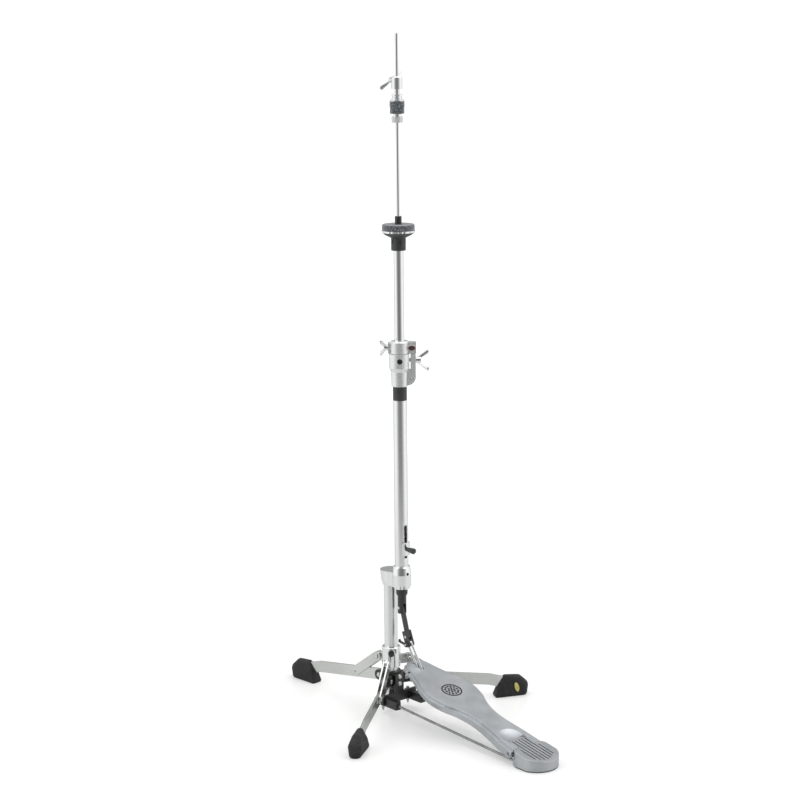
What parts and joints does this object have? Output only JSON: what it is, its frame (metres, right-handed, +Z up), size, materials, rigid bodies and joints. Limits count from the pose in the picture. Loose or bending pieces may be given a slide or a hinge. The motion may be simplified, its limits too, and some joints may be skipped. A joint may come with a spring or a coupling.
{
  "type": "hi-hat stand",
  "caption": "Chromed flat-base hi-hat stand with folding legs, pull rod, clutch, cymbal seat and a cast direct-pull foot pedal.",
  "frame": {"origin": "on the floor, straight below the pull rod's axis", "axes": "+Z up along the pull rod; the pedal's heel points to -Y and its toe towards the rod"},
  "size_m": [0.4163, 0.6162, 1.11],
  "materials": {
    "chrome": "polished",
    "steel": "satin",
    "cast": "satin cast",
    "black": "satin",
    "plastic": "matt",
    "felt": "felted",
    "rubber": "matt"
  },
  "bodies": {
    "stand": {"height_clamp": "chrome", "clamp_bolt": "steel", "set_screws": "black", "tube_bushing": "plastic", "lower_tube": "chrome", "rod_guide_bush": "plastic", "offset_casting": "chrome", "leg_tube": "chrome", "leg_hub": "black", "hub_rivets": "steel", "base_frame": "black", "frame_screws": "steel", "spurs": "steel", "radius_rods": "steel", "hinge_pin": "steel", "heel_plate": "cast", "heel_pad": "rubber"},
    "mast": {"upper_tube": "chrome", "seat_cup": "plastic", "seat_washer": "chrome", "seat_felt": "felt", "seat_stem": "black"},
    "memory_lock": {"memory_lock_ring": "chrome"},
    "memory_lock_screw": {"memory_lock_wing_screw": "chrome"},
    "clamp_nut": {"clamp_wing_nut": "chrome"},
    "rod": {"pull_rod": "chrome", "lower_pull_rod": "steel", "spring_collar": "steel", "rod_yoke": "black", "upper_link_pin": "steel", "return_spring": "steel"},
    "clutch": {"clutch_body": "chrome", "clutch_washer": "chrome", "clutch_felt_upper": "felt", "clutch_felt_lower": "felt"},
    "clutch_screw": {"clutch_wing_screw": "chrome"},
    "lock_nut": {"clutch_lock_nut": "chrome"},
    "bottom_nut": {"clutch_bottom_nut": "chrome"},
    "spring_adjuster": {"spring_seat_block": "black", "spring_saddle": "chrome"},
    "knob": {"adjuster_knob": "plastic"},
    "pedal": {"footboard": "cast", "toe_pin": "steel"},
    "link": {"link_bar": "black"},
    "yoke": {"lower_yoke": "black", "lower_yoke_pins": "steel"},
    "latch": {"latch_lever": "black"},
    "loop": {"pull_loop": "chrome"},
    "collar": {"leg_collar": "chrome", "collar_rivets": "steel", "collar_screw": "black"},
    "leg_b": {"leg_back": "chrome", "foot_back": "rubber"},
    "leg_l": {"leg_left": "chrome", "foot_left": "rubber"},
    "leg_r": {"leg_right": "chrome", "foot_right": "rubber"},
    "strut_b": {"strut_back": "steel"},
    "strut_l": {"strut_left": "steel"},
    "strut_r": {"strut_right": "steel"}
  },
  "joints": [
    {"name": "pedal_tilt", "type": "hinge", "parent": "stand", "child": "pedal", "pos_m": [0, -0.2855, 0.017], "axis": [-1, 0, 0], "range_deg": [0, 7.5]},
    {"name": "rod_pull", "type": "slide", "parent": "stand", "child": "rod", "axis": [0, 0, -1], "range_m": [0, 0.03], "stiffness_N_per_m": 1500, "springref_m": -0.015, "deforming": ["return_spring"]},
    {"name": "link_swing", "type": "hinge", "parent": "rod", "child": "link", "pos_m": [0, 0, 0.181], "axis": [1, 0, 0], "range_deg": [0, 4.5]},
    {"name": "yoke_swing", "type": "hinge", "parent": "link", "child": "yoke", "pos_m": [0, -0.014, 0.134], "axis": [1, 0, 0], "range_deg": [-1.5, 0]},
    {"name": "loop_swing", "type": "hinge", "parent": "yoke", "child": "loop", "pos_m": [0, -0.01868, 0.12241], "axis": [1, 0, 0], "range_deg": [0, 1]},
    {"name": "latch_swing", "type": "hinge", "parent": "yoke", "child": "latch", "pos_m": [-0.0079, -0.01868, 0.12241], "axis": [1, 0, 0], "range_deg": [0, 50]},
    {"name": "height_adjust", "type": "slide", "parent": "stand", "child": "mast", "axis": [0, 0, 1], "range_m": [0, 0.06]},
    {"name": "clamp_nut_turn", "type": "hinge", "parent": "stand", "child": "clamp_nut", "pos_m": [0.02298, -0.01928, 0.593], "axis": [0.766, -0.6428, 0], "range_deg": [0, 180]},
    {"name": "memory_lock_slide", "type": "slide", "parent": "mast", "child": "memory_lock", "axis": [0, 0, 1], "range_m": [0, 0.1]},
    {"name": "memory_screw_turn", "type": "hinge", "parent": "memory_lock", "child": "memory_lock_screw", "pos_m": [-0.01532, 0.01286, 0.6134], "axis": [-0.766, 0.6428, 0], "range_deg": [0, 180]},
    {"name": "clutch_slide", "type": "slide", "parent": "rod", "child": "clutch", "axis": [0, 0, 1], "range_m": [-0.04, 0.05]},
    {"name": "clutch_screw_turn", "type": "hinge", "parent": "clutch", "child": "clutch_screw", "pos_m": [0.00259, 0.00966, 1.0355], "axis": [0.2588, 0.9659, 0], "range_deg": [0, 180]},
    {"name": "lock_nut_turn", "type": "hinge", "parent": "clutch", "child": "lock_nut", "pos_m": [0, 0, 1.01], "axis": [0, 0, 1], "continuous": true},
    {"name": "bottom_nut_turn", "type": "hinge", "parent": "clutch", "child": "bottom_nut", "pos_m": [0, 0, 0.975], "axis": [0, 0, 1], "continuous": true},
    {"name": "spring_adjust", "type": "slide", "parent": "stand", "child": "spring_adjuster", "axis": [0, 0, 1], "range_m": [-0.004, 0.024]},
    {"name": "knob_turn", "type": "hinge", "parent": "spring_adjuster", "child": "knob", "pos_m": [0, -0.02, 0.282], "axis": [0, -1, 0], "continuous": true},
    {"name": "collar_slide", "type": "slide", "parent": "stand", "child": "collar", "axis": [0, 0, 1], "range_m": [0, 0.06]},
    {"name": "leg_fold_b", "type": "hinge", "parent": "stand", "child": "leg_b", "pos_m": [-0.00209, 0.05261, 0.053], "axis": [0.9962, 0.0872, 0], "range_deg": [0, 50]},
    {"name": "strut_swing_b", "type": "hinge", "parent": "collar", "child": "strut_b", "pos_m": [-0.00262, 0.05859, 0.084], "axis": [0.9962, 0.0872, 0], "range_deg": [-16, 0]},
    {"name": "leg_fold_l", "type": "hinge", "parent": "stand", "child": "leg_l", "pos_m": [-0.01966, 0.01493, 0.053], "axis": [-0.5736, 0.8192, 0], "range_deg": [0, 50]},
    {"name": "strut_swing_l", "type": "hinge", "parent": "collar", "child": "strut_l", "pos_m": [-0.02457, 0.01149, 0.084], "axis": [-0.5736, 0.8192, 0], "range_deg": [-16, 0]},
    {"name": "leg_fold_r", "type": "hinge", "parent": "stand", "child": "leg_r", "pos_m": [0.02175, 0.01856, 0.053], "axis": [-0.4226, -0.9063, 0], "range_deg": [0, 50]},
    {"name": "strut_swing_r", "type": "hinge", "parent": "collar", "child": "strut_r", "pos_m": [0.02719, 0.01602, 0.084], "axis": [-0.4226, -0.9063, 0], "range_deg": [-16, 0]}
  ],
  "couplings": [
    {"joint": "rod_pull", "follows": "pedal_tilt", "m_per_rad": 0.22467},
    {"joint": "link_swing", "follows": "pedal_tilt", "ratio": 0.56077},
    {"joint": "yoke_swing", "follows": "pedal_tilt", "ratio": -0.15},
    {"joint": "loop_swing", "follows": "pedal_tilt", "ratio": 0.1},
    {"joint": "leg_fold_b", "follows": "collar_slide", "rad_per_m": 13.765},
    {"joint": "strut_swing_b", "follows": "collar_slide", "rad_per_m": -3.744},
    {"joint": "leg_fold_l", "follows": "collar_slide", "rad_per_m": 13.765},
    {"joint": "strut_swing_l", "follows": "collar_slide", "rad_per_m": -3.744},
    {"joint": "leg_fold_r", "follows": "collar_slide", "rad_per_m": 13.765},
    {"joint": "strut_swing_r", "follows": "collar_slide", "rad_per_m": -3.744}
  ]
}
